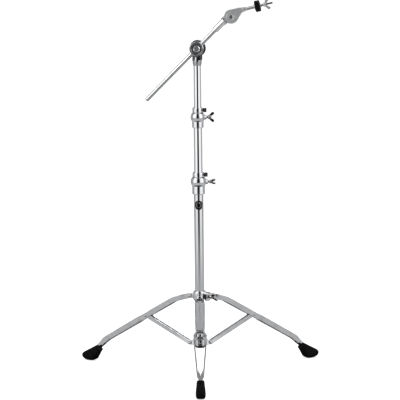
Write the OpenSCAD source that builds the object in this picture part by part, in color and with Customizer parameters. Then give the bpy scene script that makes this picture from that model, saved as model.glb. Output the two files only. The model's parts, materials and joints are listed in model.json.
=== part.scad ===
// Cymbal boom stand: a folding tripod with double-strip braced legs, three telescoping
// tubes with wing-screw clamps, a boom rod in a drum tilter, and a cymbal tilter on its end.
// Millimetres, +Z up, the feet stand on Z = 0 and the boom rises towards +X.

/* [Tubes] */
// Outer diameter of the base tube
base_tube_d = 28.6; // [27:0.1:29]
// Outer diameter of the middle tube
middle_tube_d = 25.4; // [25:0.1:25.6]
// Outer diameter of the upper tube
upper_tube_d = 22.2; // [21.5:0.1:22.4]
// Wall thickness of the three tubes
tube_wall = 1.2; // [0.8:0.1:1.3]
// Height of the base tube's lower end above the floor
base_tube_foot = 77; // [67:1:85]
// Height of the base tube's upper end
base_tube_top = 567; // [547:1:607]
// Length of the middle tube
middle_tube_length = 480; // [420:5:500]
// Height of the middle tube's upper end at rest
middle_tube_top = 762; // [747:1:762]
// Length of the upper tube
upper_tube_length = 450; // [400:5:460]
// Height of the upper tube's upper end at rest
upper_tube_top = 945; // [907:1:967]

/* [Tripod] */
// Distance of the leg and brace pins on both collars from the column axis
collar_pin_reach = 35; // [33:0.5:38]
// Height of the leg pins on the upper leg collar
leg_pin_z = 232; // [222:1:242]
// Height of the brace pins on the lower leg collar
brace_pin_z = 87; // [83:1:97]
// Distance from the column axis to the pin where leg and brace cross
mid_pin_reach = 188; // [180:1:195]
// Width of a leg strip, seen from the side
leg_strip_w = 16; // [14:0.5:18]
// Width of a brace strip, seen from the side
brace_strip_w = 12.5; // [11:0.5:14]
// Thickness of the steel strip
strip_t = 2.5; // [2:0.1:2.6]
// Reach of the outermost point of a foot from the column axis
foot_reach = 424; // [415:1:435]

/* [Clamps] */
// Outer diameter of the lower clamp's ball
lower_ball_d = 47; // [45:0.5:50]
// Outer diameter of the upper clamp's ball
upper_ball_d = 43; // [41:0.5:45]
// Height of a clamp's ball
ball_height = 26; // [24:1:28]
// Height of a memory lock ring
memory_lock_height = 15.5; // [12:0.5:18]
// Diameter of the clamp screws
screw_d = 8; // [6:1:8]

/* [Boom] */
// Direction of the boom seen from above, from +X
boom_yaw = -8; // [-20:1:20]
// Elevation of the boom rod
boom_elevation = 45; // [0:1:45]
// Height of the boom tilter's axis
drum_z = 983; // [977:1:997]
// Diameter of the boom rod
boom_rod_d = 12.7; // [12:0.1:13]
// Length of the boom rod below the tilter axis
boom_rod_tail = 221; // [200:1:260]
// Length of the boom rod above the tilter axis
boom_rod_head = 104; // [100:1:110]

/* [Cymbal holder] */
// Distance along the boom rod from the tilter axis to the cymbal tilter's pivot
pivot_along = 141; // [138:1:150]
// Distance of the cymbal tilter's pivot below the boom rod's axis
pivot_below = 6; // [0:0.5:8]
// Radius of the cymbal tilter's discs
tilter_disc_r = 21; // [20:0.5:22]
// Elevation of the cymbal rod
cymbal_rod_elevation = 13; // [0:1:20]
// Diameter of the cymbal rod
cymbal_rod_d = 6; // [6:1:8]
// Distance from the pivot to the cymbal rod's tip
cymbal_rod_tip = 130; // [125:1:140]
// Diameter of the felts
felt_d = 35; // [30:1:38]
// Thickness of one felt
felt_t = 7.3; // [5:0.1:7.4]

/* [Hidden] */
$fn = 64;
fit = 0.05; // radial clearance of a running fit
gap = 0.3; // space between faces of pieces that move past each other
tiny = 0.01;

leg_names = ["front", "right", "left"];
leg_azimuths = [-90, 30, 150];
foot_half_w = 15.2;
toe_r = 10;
// each rounded edge of a rubber boot, seen from the side: reach, height, radius, half width
boot_edges = [
    [358, 34.3, 4.5, 11.6], [370.3, 45, 4.5, 11.6],
    [377, 14.5, 8, foot_half_w], [386, 9.5, toe_r, foot_half_w], [398, 9.5, toe_r, foot_half_w],
    [foot_reach - toe_r, 16.5, toe_r, foot_half_w]
];
// the tripod is lopsided along Y: this puts the middle of its bounding box at Y = 0
back_reach = (foot_reach - toe_r) * sin(30) + (foot_half_w - toe_r) * cos(30) + toe_r;
column_y = (foot_reach - back_reach) / 2;

base_r = base_tube_d / 2;
middle_r = middle_tube_d / 2;
upper_r = upper_tube_d / 2;
mid_pin_z = (leg_pin_z + brace_pin_z) / 2;
pin_r = 3;
lug_half_t = 5 - strip_t / 2 - gap;

// leg strip seen from the side (reach, height) and from above (reach, sideways)
leg_end_z = 38;
leg_side = [
    [collar_pin_reach, leg_pin_z], [86, 217.5], [mid_pin_reach, mid_pin_z - 1],
    [336, 72], [372, leg_end_z]
];
leg_plan = [
    [collar_pin_reach - leg_strip_w / 2, 5], [50, 5], [64, 13.6], [165, 13.6],
    [178, 8.5], [201, 8.5], [213, 18.7], [343, 9.7], [357, 1.3], [388, 1.3]
];
brace_side = [[collar_pin_reach, brace_pin_z], [mid_pin_reach, mid_pin_z]];
brace_plan = [
    [collar_pin_reach - brace_strip_w / 2, 5], [136, 5], [150, 5.7],
    [mid_pin_reach + brace_strip_w / 2, 5.7]
];

lower_clamp_foot = 544;
lower_ball_z = 582;
upper_clamp_foot = 745;
upper_ball_z = 777;
badge_z = 512;
lower_bushing_r = middle_r + 3.25;
upper_bushing_r = upper_r + 3.25;

collar_screw_azimuth = -30;
collar_screw_z = leg_pin_z + 1;

cheek_inner = 9; // half the space between the tilter's two cheeks
cheek_outer = 16.5;
neck_z = 932;
saddle_z = 948;
eye_r = 9.5;
arm_rise = 12; // cymbal rod's axis above the pivot
sleeve_end = 96;
felt_start = 76.6;

// ---- frames -------------------------------------------------------------------------

module column() { translate([0, column_y, 0]) children(); }

// x points outwards along leg i, y to its left
module leg_frame(i) { column() rotate([0, 0, leg_azimuths[i]]) children(); }

// origin on the boom tilter's axis, x along the boom seen from above, y to the back
module boom_frame() { column() translate([0, 0, drum_z]) rotate([0, 0, boom_yaw]) children(); }

// x along the boom rod, upwards
module rod_frame() { boom_frame() rotate([0, -boom_elevation, 0]) children(); }

// origin on the cymbal tilter's pivot, x along the cymbal rod
module arm_frame() {
    rod_frame() translate([pivot_along, 0, -pivot_below])
        rotate([0, boom_elevation - cymbal_rod_elevation, 0]) children();
}

// ---- shapes that repeat ---------------------------------------------------------------

function unit(v) = v / norm(v);
function turned(v) = [-v[1], v[0]];

// a smooth curve that cuts the corner b of the path a, b, c
function soft_corner(a, b, c, cut, steps = 4) =
    let (p = b + unit(a - b) * cut, q = b + unit(c - b) * cut)
    [for (i = [0:steps]) let (t = i / steps)
        (1 - t) * (1 - t) * p + 2 * t * (1 - t) * b + t * t * q];

function soft_path(path, cut) = concat(
    [path[0]],
    [for (i = [1:len(path) - 2]) each soft_corner(path[i - 1], path[i], path[i + 1], cut)],
    [path[len(path) - 1]]
);

function offset_path(path, away) = [
    for (i = [0:len(path) - 1])
        let (back = path[max(i - 1, 0)], ahead = path[min(i + 1, len(path) - 1)])
        path[i] + turned(unit(ahead - back)) * away
];

// points of a half circle of radius r round the end of a strip that heads along d
function end_cap(tip, d, r, steps = 10) = [
    for (i = [1:steps - 1])
        let (a = 180 * i / steps) tip + r * (turned(d) * cos(a) + d * sin(a))
];

function reversed(points) = [for (i = [len(points) - 1:-1:0]) points[i]];

// a strip of constant width along a path, with round ends if asked
module band(path, width, round_ends = false) {
    last = len(path) - 1;
    polygon(concat(
        offset_path(path, width / 2),
        round_ends ? end_cap(path[last], unit(path[last] - path[last - 1]), width / 2) : [],
        reversed(offset_path(path, -width / 2)),
        round_ends ? end_cap(path[0], unit(path[0] - path[1]), width / 2) : []
    ));
}

// two circles joined by their outer tangents
module lobe(p1, r1, p2, r2) {
    d = norm(p2 - p1);
    heading = atan2(p2[1] - p1[1], p2[0] - p1[0]);
    swing = acos((r1 - r2) / d);
    up = [cos(heading + swing), sin(heading + swing)];
    down = [cos(heading - swing), sin(heading - swing)];
    translate(p1) circle(r1);
    translate(p2) circle(r2);
    polygon([p1 + up * r1, p2 + up * r2, p2 + down * r2, p1 + down * r1]);
}

// extrudes a drawing in x and z along y, from y0 to y1
module plate(y0, y1) {
    translate([0, y1, 0]) rotate([90, 0, 0]) linear_extrude(y1 - y0) children();
}

module along_x(x0, x1, r, r_end = undef) {
    translate([x0, 0, 0]) rotate([0, 90, 0])
        cylinder(h = x1 - x0, r1 = r, r2 = r_end == undef ? r : r_end);
}

module along_y(y0, y1, r, r_end = undef) {
    translate([0, y0, 0]) rotate([-90, 0, 0])
        cylinder(h = y1 - y0, r1 = r, r2 = r_end == undef ? r : r_end);
}

module along_z(z0, z1, r, r_end = undef) {
    translate([0, 0, z0]) cylinder(h = z1 - z0, r1 = r, r2 = r_end == undef ? r : r_end);
}

module tube(z0, z1, r) {
    difference() {
        along_z(z0, z1, r);
        along_z(z0 - 1, z1 + 1, r - tube_wall);
    }
}

// butterfly head whose hub starts at x = 0 and whose wings open towards +x
module wing_head(span, length, bore_r, hub_r = 6) {
    difference() {
        union() {
            along_x(0, 3, hub_r - 1.2, hub_r);
            along_x(3, 9, hub_r, hub_r - 1);
            for (side = [-1, 1])
                plate(-2, 2) lobe([5, side * 3], 3, [length - 5, side * (span / 2 - 4.5)], 4.5);
        }
        along_x(-1, length, bore_r);
    }
}

// straight rivet across a leg, with a domed head at each end
module rivet(half_length) {
    along_y(-half_length, half_length, pin_r);
    along_y(half_length, half_length + 2.2, 5, 3.4);
    along_y(-half_length - 2.2, -half_length, 3.4, 5);
}

// ---- tripod ----------------------------------------------------------------------------

module base_tube() { color("gainsboro") column() tube(base_tube_foot, base_tube_top, base_r); }

module base_tube_plug() {
    color("dimgray") column() {
        along_z(base_tube_foot - 2.5, base_tube_foot, base_r - 1, base_r);
        along_z(base_tube_foot, base_tube_foot + 10, base_r - tube_wall);
    }
}

// a flat ear for one leg or brace pin
module lug(z) {
    plate(-lug_half_t, lug_half_t) lobe([16, z], 8.5, [collar_pin_reach, z], 7);
}

module pin_hole(z) {
    translate([collar_pin_reach, 0, z]) along_y(-20, 20, pin_r);
}

module lower_leg_collar() {
    color("silver") difference() {
        union() {
            column() {
                along_z(brace_pin_z - 9, brace_pin_z - 4, 17.5, 19.5);
                along_z(brace_pin_z - 4, brace_pin_z + 12, 19.5);
                along_z(brace_pin_z + 12, brace_pin_z + 24, 19.5, 21);
                along_z(brace_pin_z + 24, brace_pin_z + 32, 21, 17);
            }
            for (i = [0:2]) leg_frame(i) {
                lug(brace_pin_z);
                plate(-lug_half_t, lug_half_t)
                    lobe([14, brace_pin_z + 12], 7, [21, brace_pin_z + 6], 6);
            }
        }
        column() along_z(brace_pin_z - 20, brace_pin_z + 40, base_r);
        for (i = [0:2]) leg_frame(i) pin_hole(brace_pin_z);
        // shallow pockets cast between the ears
        for (i = [0:2]) leg_frame(i) rotate([0, 0, 60])
            translate([21.5, 0, brace_pin_z + 6]) cube([6, 14, 12], center = true);
    }
}

module brace_rivets() {
    color("lightgray") for (i = [0:2]) leg_frame(i)
        translate([collar_pin_reach, 0, brace_pin_z]) rivet(5 + strip_t / 2 + gap);
}

module brace_strip(i, side) {
    color("gainsboro") leg_frame(i) difference() {
        intersection() {
            linear_extrude(300) mirror([0, side > 0 ? 0 : 1])
                band(soft_path(brace_plan, 4), strip_t);
            plate(-30, 30) band(brace_side, brace_strip_w, true);
        }
        translate([collar_pin_reach, 0, brace_pin_z]) along_y(-20, 20, pin_r + fit);
        translate([mid_pin_reach, 0, mid_pin_z]) along_y(-20, 20, pin_r);
    }
}

// shouldered pin: thick between the brace strips, thin through all four strips
module brace_pin(i) {
    color("lightgray") leg_frame(i) translate([mid_pin_reach, 0, mid_pin_z]) {
        rivet(8.5 + strip_t / 2 + gap);
        along_y(-5.7 + strip_t / 2, 5.7 - strip_t / 2, 4.5);
    }
}

module leg_strip(i, side) {
    color("gainsboro") leg_frame(i) difference() {
        intersection() {
            linear_extrude(300) mirror([0, side > 0 ? 0 : 1])
                band(soft_path(leg_plan, 4), strip_t);
            plate(-30, 30) band(soft_path(leg_side, 12), leg_strip_w, true);
        }
        translate([collar_pin_reach, 0, leg_pin_z]) along_y(-20, 20, pin_r + fit);
        translate([mid_pin_reach, 0, mid_pin_z]) along_y(-20, 20, pin_r + fit);
    }
}

// rounded boot that flares towards the floor, cut flat where it stands
module boot_shape() {
    intersection() {
        hull() for (edge = boot_edges, y = [-1, 1])
            translate([edge[0], y * (edge[3] - edge[2]), edge[1]]) sphere(edge[2], $fn = 32);
        translate([300, -20, 0]) cube([150, 40, 80]);
    }
}

module rubber_foot(i) {
    color("black") difference() {
        leg_frame(i) boot_shape();
        leg_strip(i, 1);
        leg_strip(i, -1);
    }
}

module upper_leg_collar() {
    color("silver") difference() {
        union() {
            column() {
                along_z(leg_pin_z - 12, leg_pin_z - 8, 17.5, 20);
                along_z(leg_pin_z - 8, leg_pin_z + 13, 20);
                along_z(leg_pin_z + 13, leg_pin_z + 17, 20, 17.5);
            }
            for (i = [0:2]) leg_frame(i) lug(leg_pin_z);
            collar_screw_frame() translate([10, -9, -12.5]) cube([23, 18, 25]);
        }
        column() along_z(leg_pin_z - 25, leg_pin_z + 25, base_r + fit);
        for (i = [0:2]) leg_frame(i) pin_hole(leg_pin_z);
        collar_screw_frame() {
            translate([12, -10, -8]) cube([16, 20, 16]);
            along_x(20, 40, screw_d / 2 + fit);
        }
    }
}

module leg_rivets() {
    color("lightgray") for (i = [0:2]) leg_frame(i)
        translate([collar_pin_reach, 0, leg_pin_z]) rivet(5 + strip_t / 2 + gap);
}

// x outwards along the collar's wing screw
module collar_screw_frame() {
    column() translate([0, 0, collar_screw_z]) rotate([0, 0, collar_screw_azimuth]) children();
}

module collar_clamp_shoe() {
    color("black") difference() {
        collar_screw_frame() translate([12, -8, -8]) cube([14, 16, 16]);
        column() along_z(leg_pin_z - 25, leg_pin_z + 25, base_r + fit);
    }
}

module collar_screw() {
    color("dimgray") collar_screw_frame() along_x(26 + fit, 46, screw_d / 2);
}

module collar_wing() {
    color("gainsboro") collar_screw_frame() translate([37, 0, 0]) rotate([40, 0, 0])
        wing_head(32, 22, screw_d / 2 + fit);
}

// ---- column ------------------------------------------------------------------------------

// sleeve with a ball on top and a screw boss on +X
module ball_clamp(foot_z, ball_z, ball_r, sleeve_r, held_r, bushing_r, boss_x) {
    difference() {
        union() {
            along_z(foot_z, foot_z + 2, sleeve_r - 1, sleeve_r);
            along_z(foot_z + 2, ball_z, sleeve_r);
            intersection() {
                translate([0, 0, ball_z]) sphere(ball_r);
                along_z(ball_z - ball_height / 2, ball_z + ball_height / 2, ball_r + 1);
            }
            translate([0, 0, ball_z]) along_x(ball_r - 5, boss_x, 9, 6.5);
        }
        along_z(foot_z - 1, ball_z, held_r);
        along_z(ball_z - ball_height / 2 - 2, ball_z + ball_height, bushing_r + fit);
        translate([0, 0, ball_z]) along_x(10, boss_x + 1, screw_d / 2 + fit);
    }
}

module split_bushing(ball_z, inner_r, outer_r) {
    difference() {
        along_z(ball_z - ball_height / 2 - 2 + gap, ball_z + ball_height / 2 - gap, outer_r);
        along_z(ball_z - ball_height, ball_z + ball_height, inner_r + fit);
        translate([-outer_r - 1, -1, ball_z - ball_height]) cube([outer_r, 2, 2 * ball_height]);
    }
}

module memory_lock(z0, tube_r, reach) {
    difference() {
        union() {
            along_z(z0, z0 + 1.5, tube_r + 3.8, tube_r + 4.8);
            along_z(z0 + 1.5, z0 + memory_lock_height - 1.5, tube_r + 4.8);
            along_z(z0 + memory_lock_height - 1.5, z0 + memory_lock_height,
                tube_r + 4.8, tube_r + 3.8);
            translate([tube_r, -7, z0 + 2]) cube([reach - tube_r, 14, memory_lock_height - 4]);
        }
        along_z(z0 - 1, z0 + memory_lock_height + 1, tube_r + fit);
        translate([0, -1, z0 - 1]) cube([reach + 1, 2, memory_lock_height + 2]);
        translate([reach - 5, 0, z0 + memory_lock_height / 2]) along_y(-10, 10, 2.5);
    }
}

module memory_bolt(z0, reach) {
    translate([reach - 5, 0, z0 + memory_lock_height / 2]) {
        along_y(-7, 9, 2.5);
        along_y(-8.5, -7, 4.5);
        translate([-2.8, -14, -2.8]) cube([5.6, 5.5, 5.6]);
    }
}

module lower_clamp() {
    color("silver") column() ball_clamp(lower_clamp_foot, lower_ball_z, lower_ball_d / 2,
        19.2, base_r, lower_bushing_r, 29);
}

module oval_badge() {
    thickness = 0.9;
    color("black") column() intersection() {
        difference() {
            along_z(badge_z - 25, badge_z + 25, base_r + thickness);
            along_z(badge_z - 26, badge_z + 26, base_r);
        }
        translate([0, -10, badge_z]) rotate([90, 0, 0]) scale([12.2 / 15, 1, 1])
            cylinder(h = 10, r = 15);
    }
}

lower_lock_z = lower_ball_z + ball_height / 2 + gap;
upper_lock_z = upper_ball_z + ball_height / 2 + gap;
lower_lock_reach = 28;
upper_lock_reach = 26.5;

module lower_bushing() {
    color("black") column() split_bushing(lower_ball_z, middle_r, lower_bushing_r);
}

module lower_memory_lock() {
    color("silver") column() memory_lock(lower_lock_z, middle_r, lower_lock_reach);
}

module lower_memory_bolt() {
    color("dimgray") column() memory_bolt(lower_lock_z, lower_lock_reach);
}

module clamp_screw(ball_z, bushing_r, tip_x) {
    color("dimgray") column() translate([0, 0, ball_z]) along_x(bushing_r + 0.1, tip_x, screw_d / 2);
}

module clamp_wing(ball_z, hub_x, spin) {
    color("gainsboro") column() translate([hub_x, 0, ball_z]) rotate([spin, 0, 0])
        wing_head(31, 20, screw_d / 2 + fit);
}

module lower_clamp_screw() { clamp_screw(lower_ball_z, lower_bushing_r, 43); }

module lower_clamp_wing() { clamp_wing(lower_ball_z, 32, 55); }

module middle_tube() {
    color("gainsboro") column()
        tube(middle_tube_top - middle_tube_length, middle_tube_top, middle_r);
}

module upper_clamp() {
    color("silver") column() ball_clamp(upper_clamp_foot, upper_ball_z, upper_ball_d / 2,
        17.4, middle_r, upper_bushing_r, 27);
}

module upper_clamp_screw() { clamp_screw(upper_ball_z, upper_bushing_r, 41); }

module upper_clamp_wing() { clamp_wing(upper_ball_z, 30, 0); }

module upper_bushing() {
    color("black") column() split_bushing(upper_ball_z, upper_r, upper_bushing_r);
}

module upper_memory_lock() {
    color("silver") column() memory_lock(upper_lock_z, upper_r, upper_lock_reach);
}

module upper_memory_bolt() {
    color("dimgray") column() memory_bolt(upper_lock_z, upper_lock_reach);
}

module upper_tube() {
    color("gainsboro") column() tube(upper_tube_top - upper_tube_length, upper_tube_top, upper_r);
}

// ---- boom tilter ---------------------------------------------------------------------------

// flared neck on the upper tube, with a cheek on each side of the clamp drum
module tilter_base() {
    web_top = drum_z - saddle_z;
    color("silver") difference() {
        union() {
            column() {
                along_z(neck_z, saddle_z - 2, 12.1, 14.2);
                along_z(saddle_z - 2, saddle_z + 10, 14.2);
            }
            boom_frame() {
                along_y(cheek_inner, cheek_outer - 1.5, 25);
                along_y(cheek_outer - 1.5, cheek_outer, 25, 23.5);
                along_y(-cheek_outer + 1.5, -cheek_inner, 21.5);
                along_y(-cheek_outer, -cheek_outer + 1.5, 20.3, 21.5);
                translate([-14, cheek_inner, -web_top]) cube([28, 5, web_top]);
                translate([-13, -cheek_outer + 3, -web_top]) cube([26, 3, web_top]);
            }
        }
        boom_frame() {
            translate([-30, -cheek_inner, -web_top]) cube([60, 2 * cheek_inner, 80]);
            along_y(-cheek_outer - 1, -cheek_outer + 3.5, 17);
            along_y(-20, 0, eye_r + 0.1);
            along_y(0, 20, screw_d / 2 + fit);
        }
        column() along_z(neck_z - 1, upper_tube_top, upper_r);
    }
}

module rod_hole() {
    along_x(-40, 40, boom_rod_d / 2 + fit);
}

module boom_clamp_drum() {
    color("silver") difference() {
        boom_frame() along_y(-cheek_inner + gap, cheek_inner - gap, 18);
        boom_frame() along_y(-20, 20, eye_r);
        rod_frame() rod_hole();
    }
}

// eye round the boom rod, its front end seen as the tilter's hub, its shank out at the back
module boom_eyebolt() {
    color("lightgray") difference() {
        boom_frame() {
            along_y(-14.5, -13, eye_r - 1.8, eye_r);
            along_y(-13, cheek_inner - gap, eye_r);
            along_y(cheek_inner - gap, 30, screw_d / 2);
        }
        rod_frame() rod_hole();
    }
}

module washer(y0) {
    difference() {
        along_y(y0, y0 + 1.5, 9);
        along_y(y0 - 1, y0 + 3, screw_d / 2 + fit);
    }
}

// x of the wing head turned to point backwards along +y
module facing_back(y0) { translate([0, y0, 0]) rotate([0, 0, 90]) children(); }

module boom_wing_washer() { color("gray") boom_frame() washer(cheek_outer + gap); }

module boom_wing_nut() {
    color("gainsboro") boom_frame() facing_back(cheek_outer + 2.1) rotate([20, 0, 0])
        wing_head(36, 21, screw_d / 2 + fit, 7.5);
}

module boom_rod() {
    r = boom_rod_d / 2;
    color("gainsboro") rod_frame() difference() {
        union() {
            translate([-boom_rod_tail + r, 0, 0]) sphere(r);
            along_x(-boom_rod_tail + r, boom_rod_head, r);
        }
        // two shallow marking grooves
        for (mark = [-75, -151]) difference() {
            along_x(mark - 0.6, mark + 0.6, r + 1);
            along_x(mark - 1, mark + 1, r - 0.4);
        }
    }
}

// ---- cymbal tilter -------------------------------------------------------------------------

half_gap = 0.15;
disc_t = 9.5;

module boom_socket() {
    color("silver") difference() {
        union() {
            rod_frame() {
                along_x(78, 79.5, 8.5, 9.5);
                along_x(79.5, 108, 9.5);
                along_x(108, 117, 9.5, 11.5);
                intersection() {
                    along_x(110, pivot_along - 8, 11.5);
                    translate([100, half_gap, -20]) cube([60, disc_t, 40]);
                }
            }
            arm_frame() {
                along_y(half_gap, disc_t - 1.5, tilter_disc_r);
                along_y(disc_t - 1.5, disc_t, tilter_disc_r, tilter_disc_r - 1.5);
            }
        }
        rod_frame() along_x(70, boom_rod_head + gap, boom_rod_d / 2 + fit);
        arm_frame() along_y(-20, 20, screw_d / 2 + fit);
    }
}

module cymbal_arm() {
    color("silver") difference() {
        arm_frame() {
            plate(-disc_t, -half_gap) lobe([0, 0], tilter_disc_r, [30, arm_rise], 8.5);
            difference() {
                along_y(-disc_t - 1.5, -disc_t, 12.5);
                along_y(-disc_t - 2, -disc_t, 9.5);
            }
            translate([0, 0, arm_rise]) {
                along_x(30, 46, 8.4, 6.6);
                along_x(46, 50, 6.6, 5.6);
            }
        }
        arm_frame() {
            along_y(-20, 20, screw_d / 2);
            translate([0, 0, arm_rise]) along_x(36, 60, cymbal_rod_d / 2);
        }
    }
}

module tilter_pivot_screw() {
    color("gray") arm_frame() difference() {
        union() {
            along_y(-disc_t - 2.5, -disc_t - 1.5, 5.5, 6.5);
            along_y(-disc_t - 1.5, -disc_t, 6.5);
            along_y(-disc_t, 22, screw_d / 2);
        }
        rotate([0, cymbal_rod_elevation, 0])
            translate([-0.9, -disc_t - 3, -5]) cube([1.8, 2, 10]);
    }
}

module tilter_wing_washer() { color("gray") arm_frame() washer(disc_t + gap); }

module tilter_wing_nut() {
    color("gainsboro") arm_frame() facing_back(disc_t + 2.1) rotate([30, 0, 0])
        wing_head(32, 19, screw_d / 2 + fit);
}

module cymbal_rod_frame() { arm_frame() translate([0, 0, arm_rise]) children(); }

module cymbal_rod() {
    color("dimgray") cymbal_rod_frame() {
        along_x(36, cymbal_rod_tip - 1, cymbal_rod_d / 2);
        along_x(cymbal_rod_tip - 1, cymbal_rod_tip, cymbal_rod_d / 2, cymbal_rod_d / 2 - 0.8);
    }
}

// sleeve over the rod, with the flange that the lower felt sits on
module cymbal_sleeve() {
    color("silver") cymbal_rod_frame() difference() {
        union() {
            along_x(50, sleeve_end, 5);
            along_x(felt_start - 1.6, felt_start - 0.1, 10);
        }
        along_x(40, 100, cymbal_rod_d / 2);
    }
}

module felt(x0) {
    color("black") cymbal_rod_frame() difference() {
        union() {
            along_x(x0, x0 + 1, felt_d / 2 - 1, felt_d / 2);
            along_x(x0 + 1, x0 + felt_t - 1, felt_d / 2);
            along_x(x0 + felt_t - 1, x0 + felt_t, felt_d / 2, felt_d / 2 - 1);
        }
        along_x(x0 - 1, x0 + felt_t + 1, 5 + fit);
    }
}

module lower_felt() { felt(felt_start); }

module upper_felt() { felt(felt_start + felt_t + 0.1); }

module cymbal_nut_insert() {
    color("dimgray") cymbal_rod_frame() difference() {
        along_x(101, 113, 4.5);
        along_x(100, 120, cymbal_rod_d / 2 + fit);
    }
}

module cymbal_wing_nut() {
    color("gainsboro") cymbal_rod_frame() translate([102, 0, 0]) rotate([10, 0, 0])
        wing_head(34, 19, 4.5 + fit, 6.5);
}

// ---- parts -----------------------------------------------------------------------------------

base_tube();
base_tube_plug();
lower_leg_collar();
brace_rivets();
lower_clamp();
oval_badge();
for (i = [0:2]) {
    brace_strip(i, 1);
    brace_strip(i, -1);
    brace_pin(i);
    leg_strip(i, 1);
    leg_strip(i, -1);
    rubber_foot(i);
}
upper_leg_collar();
leg_rivets();
collar_clamp_shoe();
collar_screw();
collar_wing();
lower_bushing();
lower_memory_lock();
lower_memory_bolt();
lower_clamp_screw();
lower_clamp_wing();
middle_tube();
upper_clamp();
upper_clamp_screw();
upper_clamp_wing();
upper_bushing();
upper_memory_lock();
upper_memory_bolt();
upper_tube();
tilter_base();
boom_clamp_drum();
boom_eyebolt();
boom_wing_washer();
boom_wing_nut();
boom_rod();
boom_socket();
cymbal_arm();
tilter_pivot_screw();
tilter_wing_washer();
tilter_wing_nut();
cymbal_rod();
cymbal_sleeve();
lower_felt();
upper_felt();
cymbal_nut_insert();
cymbal_wing_nut();
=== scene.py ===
# %% [markdown]
# This file dresses a cymbal boom stand: a folding tripod, three telescoping chromed tubes,
# wing-screw clamps, a boom rod in a tilter, and a small tilter that holds the cymbal felts.
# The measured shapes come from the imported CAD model, which is loaded first and never moved.
# Everything is in metres, with the floor at Z = 0 and the column standing along Z.

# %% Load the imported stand
import json
import math

import bmesh
import bpy
from mathutils import Matrix, Vector


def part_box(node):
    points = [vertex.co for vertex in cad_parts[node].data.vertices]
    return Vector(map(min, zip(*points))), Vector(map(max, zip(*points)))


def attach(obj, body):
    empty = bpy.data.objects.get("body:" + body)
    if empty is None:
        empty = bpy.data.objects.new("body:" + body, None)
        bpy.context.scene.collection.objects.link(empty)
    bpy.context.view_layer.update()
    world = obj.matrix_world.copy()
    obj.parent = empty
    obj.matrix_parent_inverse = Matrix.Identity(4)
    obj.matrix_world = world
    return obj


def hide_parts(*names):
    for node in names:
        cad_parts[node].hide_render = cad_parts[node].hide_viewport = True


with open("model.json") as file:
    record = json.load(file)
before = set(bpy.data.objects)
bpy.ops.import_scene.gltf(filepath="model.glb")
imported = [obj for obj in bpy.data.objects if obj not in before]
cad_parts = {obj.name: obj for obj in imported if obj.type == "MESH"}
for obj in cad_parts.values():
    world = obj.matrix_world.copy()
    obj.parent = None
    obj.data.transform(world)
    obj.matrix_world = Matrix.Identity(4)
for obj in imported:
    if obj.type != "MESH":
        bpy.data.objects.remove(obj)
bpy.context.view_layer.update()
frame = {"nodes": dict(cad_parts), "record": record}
nodes, bodies = frame["nodes"], frame["record"]["behaviour"]["bodies"]
body_of_node = {node: body for body, members in bodies.items() for node in members}

MM = 0.001
tube_low, tube_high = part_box("base_tube")
column = Vector(((tube_low.x + tube_high.x) / 2, (tube_low.y + tube_high.y) / 2, 0))
print("column axis at", tuple(round(v, 4) for v in column))

# %% [markdown]
# Blender's edit tools act on whatever is selected, so every step starts from a clean
# selection. These helpers do that, pick faces by their place, and finish a piece by
# tying it to the CAD body that it moves with.


# %% Selection and finishing helpers
def deselect_all():
    if bpy.context.object and bpy.context.object.mode != "OBJECT":
        bpy.ops.object.mode_set(mode="OBJECT")
    bpy.ops.object.select_all(action="DESELECT")


def take(piece):
    deselect_all()
    piece.select_set(True)
    bpy.context.view_layer.objects.active = piece
    return piece


def edit(piece, mode="FACE"):
    take(piece)
    bpy.ops.object.mode_set(mode="EDIT")
    bpy.ops.mesh.select_mode(type=mode)
    bpy.ops.mesh.select_all(action="DESELECT")
    return bmesh.from_edit_mesh(piece.data)


def pick_faces(piece, wanted):
    mesh = bmesh.from_edit_mesh(piece.data)
    for face in mesh.faces:
        face.select = bool(wanted(face))
    mesh.select_flush_mode()
    bmesh.update_edit_mesh(piece.data)
    return sum(face.select for face in mesh.faces)


def pick_edges(piece, wanted):
    mesh = bmesh.from_edit_mesh(piece.data)
    for edge in mesh.edges:
        edge.select = bool(wanted(edge))
    mesh.select_flush_mode()
    bmesh.update_edit_mesh(piece.data)
    return sum(edge.select for edge in mesh.edges)


def apply_modifier(piece, kind, **settings):
    take(piece)
    modifier = piece.modifiers.new(kind.lower(), kind)
    for key, value in settings.items():
        setattr(modifier, key, value)
    bpy.ops.object.modifier_apply(modifier=modifier.name)


def put_place_in_mesh(piece, place=None):
    if place is not None:
        piece.data.transform(place @ piece.matrix_world)
    else:
        piece.data.transform(piece.matrix_world)
    piece.matrix_world = Matrix.Identity(4)
    piece.data.update()


def smooth(piece, degrees=35):
    take(piece)
    bpy.ops.object.shade_smooth_by_angle(angle=math.radians(degrees))


def paint(piece, finish):
    piece.data.materials.clear()
    piece.data.materials.append(finish)


def stand_for(piece, node):
    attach(piece, body_of_node[node])
    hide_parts(node)


# %% [markdown]
# The stand's parts sit on a few shared frames: one for each leg, one for each screw on the
# column, and one along the cymbal rod. They start from the places of the CAD joints, so a
# new piece can be drawn along X and then moved to its place.

# %% Frames of the legs, the screws and the cymbal rod
LEG_NAMES = ["front", "right", "left"]
LEG_AZIMUTHS = [-90, 30, 150]
joint_at = {
    joint["name"]: Vector(joint["pos_m"])
    for joint in frame["record"]["behaviour"]["joints"]
    if joint.get("pos_m")
}


def turn(axis, degrees):
    return Matrix.Rotation(math.radians(degrees), 4, axis)


def leg_place(i):
    return Matrix.Translation(column) @ turn("Z", LEG_AZIMUTHS[i])


def on_column(z):
    return Matrix.Translation((column.x, column.y, z))


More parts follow.
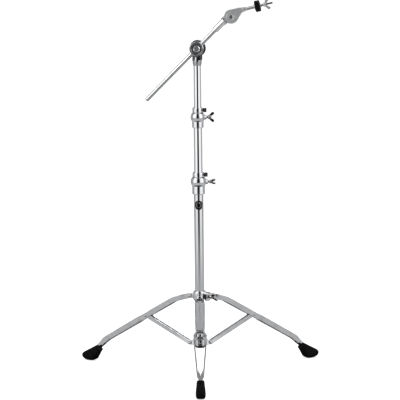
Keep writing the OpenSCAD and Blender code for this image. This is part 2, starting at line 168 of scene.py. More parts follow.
BOOM_YAW, CYMBAL_ROD_ELEVATION = -8, 13
arm_place = Matrix.Translation(joint_at["cymbal_tilt"])
arm_place = arm_place @ turn("Z", BOOM_YAW) @ turn("Y", -CYMBAL_ROD_ELEVATION)
ROD_ABOVE_PIVOT = 12 * MM
cymbal_place = arm_place @ Matrix.Translation((0, 0, ROD_ABOVE_PIVOT))
print("cymbal pivot at", tuple(round(v, 4) for v in arm_place.translation))

# %% [markdown]
# Finishes come next. Each one is a Principled shader whose colour, roughness and relief
# vary a little with noise on Object coordinates, because no real surface is perfectly
# even. A small helper adds the noise, the colour ramp and the bump in the same way each
# time, so that a finish only has to state its own numbers.


# %% Finish helpers
def fill_ramp(ramp, stops):
    ramp.elements[0].position = stops[0][0]
    ramp.elements[-1].position = stops[-1][0]
    for position, _ in stops[1:-1]:
        ramp.elements.new(position)
    for element, (_, value) in zip(ramp.elements, stops):
        tone = value if hasattr(value, "__len__") else (value, value, value)
        element.color = (*tone, 1)


class Finish:
    def __init__(self, name, **constants):
        self.material = bpy.data.materials.new(name)
        self.material.use_nodes = True
        self.tree = self.material.node_tree
        self.shader = self.tree.nodes["Principled BSDF"]
        for socket, value in constants.items():
            self.shader.inputs[socket.replace("_", " ")].default_value = value
        self.place = self.tree.nodes.new("ShaderNodeTexCoord")

    def link(self, a, b):
        self.tree.links.new(a, b)

    def noise(self, scale, detail=3, stretch=(1, 1, 1), roughness=0.55):
        mapping = self.tree.nodes.new("ShaderNodeMapping")
        mapping.inputs["Scale"].default_value = stretch
        noise = self.tree.nodes.new("ShaderNodeTexNoise")
        noise.inputs["Scale"].default_value = scale
        noise.inputs["Detail"].default_value = detail
        noise.inputs["Roughness"].default_value = roughness
        self.link(self.place.outputs["Object"], mapping.inputs["Vector"])
        self.link(mapping.outputs["Vector"], noise.inputs["Vector"])
        return noise.outputs["Fac"]

    def ramp(self, factor, stops, socket):
        ramp = self.tree.nodes.new("ShaderNodeValToRGB")
        fill_ramp(ramp.color_ramp, stops)
        self.link(factor, ramp.inputs["Fac"])
        self.link(ramp.outputs["Color"], self.shader.inputs[socket])

    def relief(self, *layers):
        last = None
        for height, strength, distance in layers:
            bump = self.tree.nodes.new("ShaderNodeBump")
            bump.inputs["Strength"].default_value = strength
            bump.inputs["Distance"].default_value = distance
            self.link(height, bump.inputs["Height"])
            if last is not None:
                self.link(last, bump.inputs["Normal"])
            last = bump.outputs["Normal"]
        self.link(last, self.shader.inputs["Normal"])


# %% [markdown]
# The tubes and rods are drawn steel, polished and then chromed, so they are the
# brightest and smoothest parts. The roughness noise is stretched along Z, like the
# wipe marks that hands and cloths leave on a tube, and a very fine relief keeps the
# reflections from looking drawn with a ruler.

# %% Chrome on tubes
tube_chrome = Finish("tube_chrome", Metallic=1.0)
tube_chrome.ramp(
    tube_chrome.noise(60, 4, (1, 1, 0.15)),
    [(0.35, (0.76, 0.77, 0.79)), (0.7, (0.83, 0.84, 0.85))],
    "Base Color",
)
tube_chrome.ramp(
    tube_chrome.noise(35, 6, (1, 1, 0.2)), [(0.35, 0.035), (0.6, 0.06), (0.8, 0.12)], "Roughness"
)
tube_chrome.relief((tube_chrome.noise(900, 2, (1, 1, 0.06)), 0.05, 0.0001))

# %% [markdown]
# The leg and brace strips are pressed from flat steel before they are chromed. Pressing
# leaves a slight waviness that polishing doesn't quite remove, so their relief is
# larger and slower, and their shine a little duller than the tubes'.

# %% Chrome on pressed strips
strip_chrome = Finish("strip_chrome", Metallic=1.0)
strip_chrome.ramp(
    strip_chrome.noise(45, 5), [(0.3, (0.62, 0.63, 0.65)), (0.7, (0.74, 0.75, 0.76))], "Base Color"
)
strip_chrome.ramp(
    strip_chrome.noise(80, 6), [(0.3, 0.07), (0.6, 0.12), (0.8, 0.2)], "Roughness"
)
strip_chrome.relief(
    (strip_chrome.noise(70, 2), 0.12, 0.0006), (strip_chrome.noise(1400, 2), 0.08, 0.00008)
)

# %% [markdown]
# Collars, clamps and tilters are zinc castings. Their plating follows a skin that is
# finely dimpled, like orange peel, and dirt settles as small dull specks.

# %% Chrome on castings
casting_chrome = Finish("casting_chrome", Metallic=1.0)
casting_chrome.ramp(
    casting_chrome.noise(120, 5),
    [(0.3, (0.64, 0.65, 0.67)), (0.7, (0.8, 0.81, 0.83))],
    "Base Color",
)
casting_chrome.ramp(
    casting_chrome.noise(160, 6), [(0.35, 0.06), (0.6, 0.1), (0.8, 0.22)], "Roughness"
)
casting_chrome.relief(
    (casting_chrome.noise(260, 2), 0.15, 0.00025), (casting_chrome.noise(1800, 2), 0.08, 0.00006)
)

# %% [markdown]
# One chrome for everything would look dull, so some pieces get their own. The
# base tube is a little darker than the tubes above it. The cymbal tilter is satin, so
# that its flat faces stay pale and don't mirror one dark spot. The boom rod is a duller
# grey, so that its upper side doesn't vanish against a white background. The wing heads
# are the darkest, which shows their shape.

# %% Chrome for the base tube, cymbal tilter, boom rod and wings
base_tube_chrome = Finish("base_tube_chrome", Metallic=1.0)
base_tube_chrome.ramp(
    base_tube_chrome.noise(60, 4, (1, 1, 0.15)),
    [(0.35, (0.6, 0.61, 0.63)), (0.7, (0.68, 0.69, 0.7))],
    "Base Color",
)
base_tube_chrome.ramp(
    base_tube_chrome.noise(35, 6, (1, 1, 0.2)),
    [(0.35, 0.05), (0.6, 0.08), (0.8, 0.14)],
    "Roughness",
)
base_tube_chrome.relief((base_tube_chrome.noise(900, 2, (1, 1, 0.06)), 0.05, 0.0001))

tumbled_chrome = Finish("tumbled_chrome", Metallic=1.0)
tumbled_chrome.ramp(
    tumbled_chrome.noise(140, 5),
    [(0.3, (0.8, 0.81, 0.82)), (0.7, (0.9, 0.91, 0.92))],
    "Base Color",
)
tumbled_chrome.ramp(tumbled_chrome.noise(180, 6), [(0.35, 0.3), (0.75, 0.42)], "Roughness")
tumbled_chrome.relief(
    (tumbled_chrome.noise(300, 2), 0.15, 0.0002), (tumbled_chrome.noise(2200, 2), 0.12, 0.00006)
)

rod_chrome = Finish("rod_chrome", Metallic=1.0)
rod_chrome.ramp(
    rod_chrome.noise(90, 4), [(0.35, (0.55, 0.56, 0.57)), (0.7, (0.64, 0.65, 0.66))], "Base Color"
)
rod_chrome.ramp(rod_chrome.noise(70, 6), [(0.35, 0.22), (0.75, 0.32)], "Roughness")
rod_chrome.relief(
    (rod_chrome.noise(300, 2), 0.12, 0.0002), (rod_chrome.noise(2200, 2), 0.1, 0.00005)
)

wing_chrome = Finish("wing_chrome", Metallic=1.0)
wing_chrome.ramp(
    wing_chrome.noise(160, 5), [(0.3, (0.36, 0.37, 0.38)), (0.7, (0.52, 0.53, 0.54))], "Base Color"
)
wing_chrome.ramp(wing_chrome.noise(220, 6), [(0.35, 0.12), (0.75, 0.26)], "Roughness")
wing_chrome.relief(
    (wing_chrome.noise(350, 2), 0.25, 0.0003), (wing_chrome.noise(1800, 2), 0.1, 0.00006)
)

# %% [markdown]
# Rivets, pins and washers are given zinc plating, which is greyer and softer than chrome
# and has a faint blue and yellow bloom. Screws are dark, oiled steel that is worn brighter
# on its ridges.

# %% Plated fasteners and dark screws
plated_zinc = Finish("plated_zinc", Metallic=1.0)
plated_zinc.ramp(
    plated_zinc.noise(300, 5),
    [(0.3, (0.55, 0.57, 0.6)), (0.5, (0.66, 0.67, 0.68)), (0.75, (0.7, 0.68, 0.63))],
    "Base Color",
)
plated_zinc.ramp(plated_zinc.noise(500, 4), [(0.3, 0.16), (0.75, 0.32)], "Roughness")
plated_zinc.relief((plated_zinc.noise(2500, 2), 0.15, 0.00005))

screw_steel = Finish("screw_steel", Metallic=1.0)
screw_steel.ramp(
    screw_steel.noise(400, 5),
    [(0.3, (0.1, 0.1, 0.105)), (0.6, (0.2, 0.2, 0.2)), (0.8, (0.34, 0.33, 0.32))],
    "Base Color",
)
screw_steel.ramp(screw_steel.noise(700, 4), [(0.3, 0.22), (0.75, 0.42)], "Roughness")
screw_steel.relief((screw_steel.noise(2200, 2), 0.2, 0.00006))

# %% [markdown]
# The boots are matt moulded rubber: almost black, with a fine grain from the mould and
# paler scuffs of floor dust. The bushings and the plug are moulded nylon, which is
# smoother and has a dull sheen.

# %% Rubber and nylon
boot_rubber = Finish("boot_rubber", Specular_IOR_Level=0.06)
boot_rubber.ramp(
    boot_rubber.noise(70, 8, (1, 1, 1), 0.65),
    [(0.35, (0.0015, 0.0015, 0.0018)), (0.6, (0.003, 0.003, 0.0032)), (0.8, (0.01, 0.0095, 0.009))],
    "Base Color",
)
boot_rubber.ramp(boot_rubber.noise(120, 5), [(0.3, 0.42), (0.75, 0.68)], "Roughness")
boot_rubber.relief(
    (boot_rubber.noise(1500, 3), 0.35, 0.0002), (boot_rubber.noise(180, 2), 0.1, 0.0005)
)

dark_nylon = Finish("dark_nylon", Specular_IOR_Level=0.4)
dark_nylon.ramp(
    dark_nylon.noise(200, 4),
    [(0.3, (0.012, 0.012, 0.013)), (0.75, (0.03, 0.03, 0.031))],
    "Base Color",
)
dark_nylon.ramp(dark_nylon.noise(300, 4), [(0.3, 0.32), (0.75, 0.5)], "Roughness")
dark_nylon.relief((dark_nylon.noise(2500, 2), 0.2, 0.00008))

# %% [markdown]
# Felt is pressed wool, so it drinks light: no shine, a soft sheen at its rim, and a nap
# of short fibres. Two noises make the nap, one fine and one stretched, so that the
# fibres don't look like sand. The badge is black enamel under a clear coat.

# %% Felt and enamel
wool_felt = Finish(
    "wool_felt", Roughness=0.95, Specular_IOR_Level=0.05, Sheen_Weight=0.03, Sheen_Roughness=0.5
)
wool_felt.ramp(
    wool_felt.noise(900, 8, (1, 1, 1), 0.7),
    [(0.3, (0.002, 0.002, 0.0024)), (0.6, (0.005, 0.005, 0.0055)), (0.8, (0.014, 0.0135, 0.0135))],
    "Base Color",
)
wool_felt.relief(
    (wool_felt.noise(1600, 6, (1, 0.35, 1), 0.7), 0.7, 0.0004),
    (wool_felt.noise(300, 3), 0.3, 0.0006),
)

badge_enamel = Finish(
    "badge_enamel", Specular_IOR_Level=0.15, Coat_Weight=0.12, Coat_Roughness=0.05
)
badge_enamel.ramp(
    badge_enamel.noise(250, 4),
    [(0.3, (0.002, 0.002, 0.0025)), (0.75, (0.006, 0.006, 0.007))],
    "Base Color",
)
badge_enamel.ramp(badge_enamel.noise(400, 3), [(0.3, 0.16), (0.75, 0.3)], "Roughness")
badge_enamel.relief((badge_enamel.noise(500, 2), 0.05, 0.0002))

FINISH_OF_SLOT = {
    "chrome_tube": tube_chrome.material,
    "chrome_strip": strip_chrome.material,
    "chrome_casting": casting_chrome.material,
    "plated_fastener": plated_zinc.material,
    "dark_steel": screw_steel.material,
    "black_rubber": boot_rubber.material,
    "black_nylon": dark_nylon.material,
    "black_felt": wool_felt.material,
    "black_enamel": badge_enamel.material,
}
SLOT_OF_NODE = {s["node"]: s["material_slot"] for s in frame["record"]["subparts"]}
OWN_FINISH = {
    "base_tube": base_tube_chrome.material,
    "cymbal_arm": tumbled_chrome.material,
    "boom_socket": tumbled_chrome.material,
    "boom_rod": rod_chrome.material,
    "cymbal_wing_nut": tumbled_chrome.material,
}
DARK_WINGS = ["collar_wing", "lower_clamp_wing", "upper_clamp_wing"]
DARK_WINGS += ["boom_wing_nut", "tilter_wing_nut"]
OWN_FINISH.update({wing: wing_chrome.material for wing in DARK_WINGS})

# %% [markdown]
# Every CAD node gets its finish first, so that none is left plain whether or not a
# finer piece replaces it later.

# %% Paint the CAD nodes
def finish_of_node(node):
    return OWN_FINISH.get(node, FINISH_OF_SLOT[SLOT_OF_NODE[node]])


for node, shape in nodes.items():
    shape.material_slots[0].material = finish_of_node(node)
print(len(nodes), "nodes painted with", len(set(SLOT_OF_NODE.values())), "finishes")

# %% [markdown]
# CAD edges are perfectly sharp, and sharp edges catch no light. On the real stand the
# castings are rounded by polishing and the strips by the press. So a copy of each such
# node has its loose triangles merged, flat faces made whole again, and its edges
# rounded with a Bevel modifier that only acts on real corners. The copy then stands
# for the node.


# %% Round the edges of castings, strips and fasteners
def rounded_copy(node, width, segments=2, corner=32):
    piece = bpy.data.objects.new(node + "_rounded", nodes[node].data.copy())
    bpy.context.scene.collection.objects.link(piece)
    edit(piece, "VERT")
    bpy.ops.mesh.select_all(action="SELECT")
    bpy.ops.mesh.remove_doubles(threshold=0.000004)
    bpy.ops.mesh.dissolve_limited(angle_limit=math.radians(0.6))
    bpy.ops.object.mode_set(mode="OBJECT")
    bpy.ops.mesh.customdata_custom_splitnormals_clear()
    apply_modifier(
        piece,
        "BEVEL",
        width=width,
        segments=segments,
        limit_method="ANGLE",
        angle_limit=math.radians(corner),
        use_clamp_overlap=False,
        miter_outer="MITER_ARC",
    )
    smooth(piece, 40)
    # long faces keep their own direction, and only the rounded edge turns the light
    apply_modifier(piece, "WEIGHTED_NORMAL", weight=100, keep_sharp=True)
    paint(piece, finish_of_node(node))
    stand_for(piece, node)
    return piece


ROUNDING = {
    "lower_leg_collar": 0.6,
    "upper_leg_collar": 0.6,
    "lower_clamp": 0.5,
    "upper_clamp": 0.5,
    "lower_memory_lock": 0.4,
    "upper_memory_lock": 0.4,
    "lower_memory_bolt": 0.25,
    "upper_memory_bolt": 0.25,
    "tilter_base": 0.5,
    "boom_clamp_drum": 0.3,
    "boom_socket": 0.4,
    "cymbal_arm": 0.5,
    "cymbal_sleeve": 0.3,
    "tilter_pivot_screw": 0.3,
    "brace_rivets": 0.45,
    "leg_rivets": 0.45,
    "boom_wing_washer": 0.25,
    "tilter_wing_washer": 0.25,
    "collar_wing": 0.9,
    "lower_clamp_wing": 0.9,
    "upper_clamp_wing": 0.9,
    "boom_wing_nut": 0.9,
    "tilter_wing_nut": 0.9,
    "cymbal_wing_nut": 0.9,
}
for leg in LEG_NAMES:
    ROUNDING[leg + "_brace_pin"] = 0.45
    for side in ("left", "right"):
        ROUNDING[f"{leg}_leg_strip_{side}"] = 0.45
        ROUNDING[f"{leg}_brace_strip_{side}"] = 0.4
for node, width in ROUNDING.items():
    made = rounded_copy(node, width * MM)
    print(made.name, len(made.data.polygons), "faces")

# %% [markdown]
# The cymbal rod and the clamp screws are threaded. A thread is a ridge that climbs as
# it goes round, so a plain cylinder is cut into many fine rings, and every vertex is
# moved in or out by how far it is from the nearest turn of the helix. Where the thread
# starts and ends, the ridge fades out, as a die leaves it.


# %% Threaded rods
def threaded_rod(name, radius, pitch, start, end, thread_start, sides=24, steps=7):
    length = end - start
    deselect_all()
    bpy.ops.mesh.primitive_cylinder_add(
        vertices=sides,
        radius=radius,
        depth=length,
        location=((start + end) / 2, 0, 0),
        rotation=(0, math.pi / 2, 0),
    )
    rod = bpy.context.object
    rod.name = name
    put_place_in_mesh(rod)
    edit(rod)
    rings = int((end - thread_start) / pitch * steps)
    bpy.ops.mesh.select_all(action="SELECT")
    bpy.ops.mesh.bisect(
        plane_co=(thread_start, 0, 0), plane_no=(1, 0, 0), clear_inner=False, clear_outer=False
    )
    pick_edges(
        rod,
        lambda e: abs(e.verts[0].co.x - e.verts[1].co.x) > 0.5 * (end - thread_start)
        and min(e.verts[0].co.x, e.verts[1].co.x) > thread_start - 1e-5,
    )
    bpy.ops.mesh.subdivide_edgering(number_cuts=rings, smoothness=0)
    bpy.ops.object.mode_set(mode="OBJECT")
    depth = 0.54 * pitch
    for vertex in rod.data.vertices:
        x, y, z = vertex.co
        if x < thread_start + 1e-6 or math.hypot(y, z) < 1e-6:
            continue
        phase = (x / pitch - math.atan2(z, y) / (2 * math.pi)) % 1
        ridge = min(1, abs(phase - 0.5) * 2.6)
        fade = min(1, (x - thread_start) / (1.5 * pitch))
        tip = max(0, 1 - (end - x) / (0.8 * pitch))
        now = radius - depth * max(ridge * fade, tip)
        scale = now / math.hypot(y, z)
        vertex.co = (x, y * scale, z * scale)
    rod.data.update()
    smooth(rod, 50)
    return rod


screw_frame = on_column(joint_at["collar_wing_turn"].z) @ turn("Z", -30)
# node, place, radius, pitch, start, end and start of the thread, in mm
THREADED = [
    ("cymbal_rod", cymbal_place, 3, 1.0, 36, 130, 96),
    ("collar_screw", screw_frame, 4, 1.25, 26.1, 46, 35),
    ("lower_clamp_screw", on_column(joint_at["lower_clamp_wing_turn"].z), 4, 1.25, 16.1, 43, 29),
    ("upper_clamp_screw", on_column(joint_at["upper_clamp_wing_turn"].z), 4, 1.25, 14.5, 41, 27),
]
for node, place, radius, pitch, start, end, thread_start in THREADED:
    rod = threaded_rod(
        node + "_threaded", radius * MM, pitch * MM, start * MM, end * MM, thread_start * MM
    )
    put_place_in_mesh(rod, place)
    paint(rod, FINISH_OF_SLOT["dark_steel"])
    stand_for(rod, node)
    print(rod.name, len(rod.data.vertices), "vertices")

# %% [markdown]
# A felt is a thick washer cut from pressed wool. Its section, a small rectangle with
# soft corners, is drawn beside the cymbal rod and spun round it. Then a gentle
# procedural displacement makes the faces uneven, as pressed wool is, and the outer rim
# bulges a little where the cymbal squeezes it.


# %% Felts
def felt_washer(name, start, bulge):
    inner, outer, thick = 5.2 * MM, 17.3 * MM, 7.1 * MM
    deselect_all()
    bpy.ops.mesh.primitive_plane_add(size=1, location=(0, 0, 0), rotation=(math.pi / 2, 0, 0))
    felt = bpy.context.object
    felt.name = name
    felt.scale = (thick, outer - inner, 1)
    felt.location = (start + thick / 2, 0, (inner + outer) / 2)
    bpy.context.view_layer.update()
    put_place_in_mesh(felt)
    edit(felt, "VERT")
    bpy.ops.mesh.select_all(action="SELECT")
    bpy.ops.mesh.bevel(offset=1.5 * MM, segments=4, affect="VERTICES")
    bpy.ops.mesh.select_all(action="SELECT")
    bpy.ops.mesh.delete(type="ONLY_FACE")
    bpy.ops.mesh.select_all(action="SELECT")
    bpy.ops.mesh.subdivide(number_cuts=3)
    bpy.ops.mesh.select_all(action="SELECT")
    bpy.ops.mesh.spin(steps=72, angle=2 * math.pi, center=(0, 0, 0), axis=(1, 0, 0))
    bpy.ops.mesh.select_all(action="SELECT")
    bpy.ops.mesh.remove_doubles(threshold=0.00002)
    bpy.ops.mesh.normals_make_consistent(inside=False)
    bpy.ops.object.mode_set(mode="OBJECT")
    middle = start + thick / 2
    for vertex in felt.data.vertices:
        x, y, z = vertex.co
        reach = math.hypot(y, z)
        along = (x - middle) / (thick / 2)
        angle = math.atan2(z, y)
        ripple = 0.10 * math.sin(5 * angle + bulge) + 0.07 * math.sin(13 * angle + 3 * bulge)
        share = (reach - inner) / (outer - inner)
        grow = (-0.45 + ripple) * MM * share * (1 - 0.9 * (1 - along * along))
        dish = 0.25 * MM * along * (share - 0.5) * abs(math.sin(3 * angle + bulge)) * share
        vertex.co = (x - dish, y * (reach + grow) / reach, z * (reach + grow) / reach)
    felt.data.update()
    smooth(felt, 60)
    return felt


for node, start, bulge in (("lower_felt", 76.7, 0.4), ("upper_felt", 84.15, 2.1)):
    felt = felt_washer(node + "_wool", start * MM, bulge)
    put_place_in_mesh(felt, cymbal_place)
    paint(felt, wool_felt.material)
    stand_for(felt, node)
    print(felt.name, len(felt.data.polygons), "faces")

# %% [markdown]
# Each foot is a rubber boot moulded over the ends of the two leg strips. It is narrow at
# its mouth, flares towards the floor and ends in a broad rounded sole. Such a shape is
# drawn as rings: a rounded square is extruded again and again, and after each step the
# new ring is laid between a lower and an upper point, seen from the side, and given its
# half width. Three shallow grip rings are drawn in, and the mouth gets a lip. A
# subdivision surface then makes it as soft as moulded rubber.


# %% Rubber boots
class Ring:
    """One ring of a boot: its lower and upper point (reach, height) and half width, in mm."""

    def __init__(self, low, high, half_width):
        low, high = (Vector((reach, 0, height)) * MM for reach, height in (low, high))
        self.middle = (low + high) / 2
        self.up = (high - low) / 2
        self.half_width = half_width * MM

    def at(self, up, side):
        return self.middle + self.up * up + Vector((0, self.half_width * side, 0))

    def share(self, point):
        up = (point - self.middle).dot(self.up) / self.up.length_squared
        return up, point.y / self.half_width


MOUTH = ((353.4, 35.6), (370.2, 50.3), 11.5)
FLARE = ((368.6, 11.8), (421.2, 23.0), 15.0)
SOLE = [
    ((371.6, 6.6), (423.4, 15.6), 14.9),
    ((378.2, 2.6), (419.6, 7.2), 13.6),
    ((385.0, 0.0), (404.0, 0.0), 10.4),
]
GRIPS = [0.11, 0.24, 0.37]


def flare_ring(share, pinch=1.0):
    low, high = (
        Vector(MOUTH[side]).lerp(Vector(FLARE[side]), share) for side in (0, 1)
    )
    middle = (low + high) / 2
    width = MOUTH[2] + (FLARE[2] - MOUTH[2]) * share
    return Ring(middle + (low - middle) * pinch, middle + (high - middle) * pinch, width * pinch)


def rubber_boot(name):
    rings = [flare_ring(0), flare_ring(0.05)]
    for grip in GRIPS:
        rings += [flare_ring(grip), flare_ring(grip + 0.02, 0.93)]
        rings += [flare_ring(grip + 0.055, 0.93), flare_ring(grip + 0.075)]
    rings += [flare_ring(0.7), flare_ring(1)] + [Ring(*ring) for ring in SOLE]
    deselect_all()
    bpy.ops.mesh.primitive_plane_add(size=2, location=(0, 0, 0))
    boot = bpy.context.object
    boot.name = name
    edit(boot, "VERT")
    bpy.ops.mesh.select_all(action="SELECT")
    bpy.ops.mesh.bevel(offset=0.6, segments=5, affect="VERTICES")
    bpy.ops.mesh.select_mode(type="FACE")
    bpy.ops.mesh.select_all(action="SELECT")
    mesh = bmesh.from_edit_mesh(boot.data)
    for vertex in mesh.verts:
        vertex.co = rings[0].at(vertex.co.x, vertex.co.y)
    bmesh.update_edit_mesh(boot.data)
    for before, ring in zip(rings, rings[1:]):
        bpy.ops.mesh.extrude_region_move()
        mesh = bmesh.from_edit_mesh(boot.data)
        for vertex in mesh.verts:
            if vertex.select:
                vertex.co = ring.at(*before.share(vertex.co))
        bmesh.update_edit_mesh(boot.data)
    bpy.ops.mesh.select_all(action="SELECT")
    bpy.ops.mesh.normals_make_consistent(inside=False)
    # the mouth: a thin lip with the rubber dipping in behind it
    inwards = (rings[-4].middle - rings[0].middle).normalized()
    pick_faces(
        boot,
        lambda f: len(f.verts) > 4 and (f.calc_center_median() - rings[0].middle).length < 2 * MM,
    )
    bpy.ops.mesh.inset(thickness=1.7 * MM)
    bpy.ops.mesh.extrude_region_move()
    bpy.ops.transform.translate(value=inwards * 1.6 * MM)
    bpy.ops.object.mode_set(mode="OBJECT")
    apply_modifier(boot, "SUBSURF", levels=2, render_levels=2)
    for vertex in boot.data.vertices:
        vertex.co.z = max(0, vertex.co.z)
    smooth(boot, 60)
    return boot


pattern = rubber_boot("boot_pattern")
for i, leg in enumerate(LEG_NAMES):
    piece = bpy.data.objects.new(f"{leg}_rubber_foot_boot", pattern.data.copy())
    bpy.context.scene.collection.objects.link(piece)
    put_place_in_mesh(piece, leg_place(i))
    paint(piece, boot_rubber.material)
    stand_for(piece, f"{leg}_rubber_foot")
    print(piece.name, len(piece.data.polygons), "faces")
bpy.data.objects.remove(pattern)

# %% [markdown]
# The badge on the base tube is a black oval with a bright rim. The rim and a plain
# inner ring are thin tubes bent round the column: each is a torus stretched to the
# oval and then wrapped, point by point, onto the tube's curve.


# %% Badge rim
badge_low, badge_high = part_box("oval_badge")
badge_z = (badge_low.z + badge_high.z) / 2


def wrapped_ring(name, half_width, half_height, thickness, stand_off):
    deselect_all()
    bpy.ops.mesh.primitive_torus_add(
        major_radius=1, minor_radius=0.1, major_segments=72, minor_segments=12
    )
    ring = bpy.context.object
    ring.name = name
    skin = (tube_high.x - tube_low.x) / 2 + stand_off
    for vertex in ring.data.vertices:
        x, y, z = vertex.co
        angle, reach = math.atan2(y, x), math.hypot(x, y)
        side = (reach - 1) / 0.1 * thickness
        across = (half_width + side) * math.cos(angle)
        up = (half_height + side) * math.sin(angle)
        out = skin + z / 0.1 * thickness
        bend = across / skin
        place = Vector((out * math.sin(bend), -out * math.cos(bend), badge_z + up))
        vertex.co = column + place
    edit(ring)
    bpy.ops.mesh.select_all(action="SELECT")
    bpy.ops.mesh.normals_make_consistent(inside=False)
    smooth(ring, 60)
    paint(ring, tube_chrome.material)
    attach(ring, "stand_base")
    return ring


wrapped_ring("badge_rim", 13.6 * MM, 14.4 * MM, 0.35 * MM, 0.85 * MM)
wrapped_ring("badge_inner_ring", 7.0 * MM, 8.4 * MM, 0.3 * MM, 0.95 * MM)

# %% [markdown]
# The stand is shown on a pale floor in a white tent. Chrome only looks like chrome when
# it has something to reflect, so the world is a tent seen from inside: white cloth on
# both sides, a narrow dark slit at the front, and grey cloth behind. The floor comes
# first. It glows a little, so that it stays white as far as the eye sees.

# %% Floor
deselect_all()
bpy.ops.mesh.primitive_plane_add(size=80, location=(0, 0, 0))
floor = bpy.context.object
floor.name = "studio_floor"
floor_paint = Finish("floor_paint", Roughness=0.9, Specular_IOR_Level=0.1)
floor_paint.ramp(
    floor_paint.noise(3, 4), [(0.3, (0.9, 0.9, 0.9)), (0.7, (0.93, 0.93, 0.93))], "Base Color"
)
floor_paint.shader.inputs["Emission Color"].default_value = (1, 1, 1, 1)
floor_paint.shader.inputs["Emission Strength"].default_value = 0.6
paint(floor, floor_paint.material)
floor.visible_glossy = False

# %% [markdown]
# The floor itself is hidden from reflections, and the metal sees a second disc in its place: a
# painted reflection of the floor, a disc that glows though it is no lamp and shows only in
# reflections, as a soft grey ring round the stand, clear right below it and fading outwards.

# %% Floor glow
GLOW_REACH = 4.2
bpy.ops.mesh.primitive_circle_add(
    vertices=96, radius=GLOW_REACH, fill_type="NGON", location=(column.x, column.y, -0.001)
)
painted_floor_reflection = bpy.context.object
painted_floor_reflection.name = "floor_glow"
glow = Finish("floor_glow", Roughness=1.0)
glow.shader.inputs["Base Color"].default_value = (0, 0, 0, 1)
glow.shader.inputs["Specular IOR Level"].default_value = 0
glow.shader.inputs["Emission Color"].default_value = (1, 1, 1, 1)
# painted reflection: this glow stands in for the light that the floor throws back into the metal
glow.shader.inputs["Emission Strength"].default_value = 0.58
reach = glow.tree.nodes.new("ShaderNodeVectorMath")
reach.operation = "LENGTH"
glow.link(glow.place.outputs["Object"], reach.inputs[0])
fade = glow.tree.nodes.new("ShaderNodeMapRange")
fade.inputs["From Max"].default_value = GLOW_REACH
glow.link(reach.outputs["Value"], fade.inputs["Value"])
glow.ramp(
    fade.outputs["Result"], [(0.1, 0), (0.15, 1), (0.31, 1), (0.8, 0)], "Alpha"
)
paint(painted_floor_reflection, glow.material)
painted_floor_reflection.visible_camera = False
painted_floor_reflection.visible_diffuse = False
painted_floor_reflection.visible_shadow = False

# %% [markdown]
# The tent is a world background painted by direction: one ramp runs from the front round
# to the back, and a second one from straight down to straight up. The two are
# multiplied. It belongs to the room and not to the view, so it stays as it is when the
# stand is seen from another side.

# %% White tent
world = bpy.data.worlds.new("white_tent")
bpy.context.scene.world = world
world.use_nodes = True
tent = world.node_tree
sky = tent.nodes["Background"]
place = tent.nodes.new("ShaderNodeTexCoord")
split = tent.nodes.new("ShaderNodeSeparateXYZ")
tent.links.new(place.outputs["Generated"], split.inputs["Vector"])


def tent_math(operation, a, b=None):
    node = tent.nodes.new("ShaderNodeMath")
    node.operation = operation
    for i, value in enumerate((a, b)):
        if value is None:
            continue
        if isinstance(value, (int, float)):
            node.inputs[i].default_value = value
        else:
            tent.links.new(value, node.inputs[i])
    return node.outputs["Value"]


front = tent_math("MULTIPLY", split.outputs["Y"], -1)
angle = tent_math("ABSOLUTE", tent_math("ARCTAN2", split.outputs["X"], front))
share = tent_math("DIVIDE", angle, math.pi)
cloth = tent.nodes.new("ShaderNodeValToRGB")
TENT = [
    (0.0, 0.008),
    (0.085, 0.01),
    (0.125, 0.4),
    (0.17, 1.1),
    (0.4, 1.1),
    (0.5, 0.46),
    (0.6, 0.4),
    (0.93, 0.36),
    (0.97, 0.1),
    (1.0, 0.1),
]
fill_ramp(cloth.color_ramp, TENT)
tent.links.new(share, cloth.inputs["Fac"])

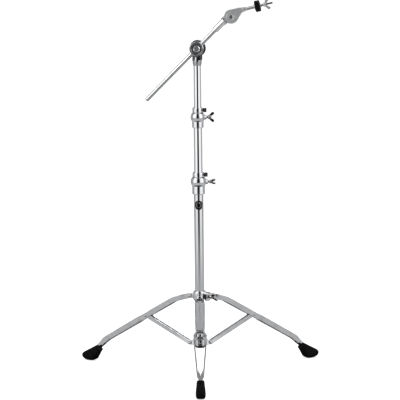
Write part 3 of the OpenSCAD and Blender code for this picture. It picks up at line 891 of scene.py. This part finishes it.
# the roof is a little dimmer than the walls, and what lies low is nearly black
level = tent.nodes.new("ShaderNodeMapRange")
level.inputs["From Min"].default_value = -1
tent.links.new(split.outputs["Z"], level.inputs["Value"])
shade = tent.nodes.new("ShaderNodeValToRGB")
SHADE = [(0.0, 0.03), (0.3, 0.08), (0.37, 0.6), (0.42, 1.0), (0.66, 1.0), (1.0, 0.8)]
fill_ramp(shade.color_ramp, SHADE)
tent.links.new(level.outputs["Result"], shade.inputs["Fac"])
both = tent.nodes.new("ShaderNodeMix")
both.data_type = "RGBA"
both.blend_type = "MULTIPLY"
both.inputs["Factor"].default_value = 1.0
tent.links.new(cloth.outputs["Color"], both.inputs["A"])
tent.links.new(shade.outputs["Color"], both.inputs["B"])
tent.links.new(both.outputs["Result"], sky.inputs["Color"])
sky.inputs["Strength"].default_value = 1.1


# %% [markdown]
# Three large, weak area lights add soft shine from the left, the right and behind.


# %% Soft lights
LIGHT_REACH = 3.2
STAND_MIDDLE = Vector((0, 0.1, 0.55))


def softbox(name, azimuth, height, power, size):
    light = bpy.data.lights.new(name, "AREA")
    light.shape = "RECTANGLE"
    light.size, light.size_y = size
    light.energy = power
    lamp = bpy.data.objects.new(name, light)
    bpy.context.scene.collection.objects.link(lamp)
    turned = math.radians(azimuth)
    lamp.location = (
        LIGHT_REACH * math.sin(turned),
        -LIGHT_REACH * math.cos(turned),
        height,
    )
    aim = STAND_MIDDLE - lamp.location
    lamp.rotation_euler = aim.to_track_quat("-Z", "Y").to_euler()
    return lamp


softbox("left_softbox", -60, 2.2, 35, (1.2, 1.8))
softbox("right_softbox", 60, 2.0, 25, (1.2, 1.8))
softbox("back_softbox", 165, 2.6, 20, (1.6, 1.0))

# %% [markdown]
# The camera stands far in front with a long lens, a little above the stand and looking
# slightly down, so verticals stay nearly parallel. It leans by half a degree. White
# should stay white, so the plain Standard view is used.

# %% Camera
CAMERA_BACK, CAMERA_HEIGHT, AIM_HEIGHT = 7.5, 1.537, 0.526
LEAN, SIDE = -0.62, 0.004
LENS, SENSOR = 226, 36
eye_data = bpy.data.cameras.new("studio_camera")
eye_data.lens, eye_data.sensor_width = LENS, SENSOR
eye_data.clip_end = 200
eye = bpy.data.objects.new("studio_camera", eye_data)
bpy.context.scene.collection.objects.link(eye)
eye.location = column + Vector((SIDE, -CAMERA_BACK, CAMERA_HEIGHT))
aim = column + Vector((SIDE, 0, AIM_HEIGHT)) - eye.location
eye.rotation_euler = (
    aim.to_track_quat("-Z", "Y").to_matrix().to_4x4() @ turn("Z", LEAN)
).to_euler()
bpy.context.scene.camera = eye
bpy.context.scene.view_settings.view_transform = "Standard"
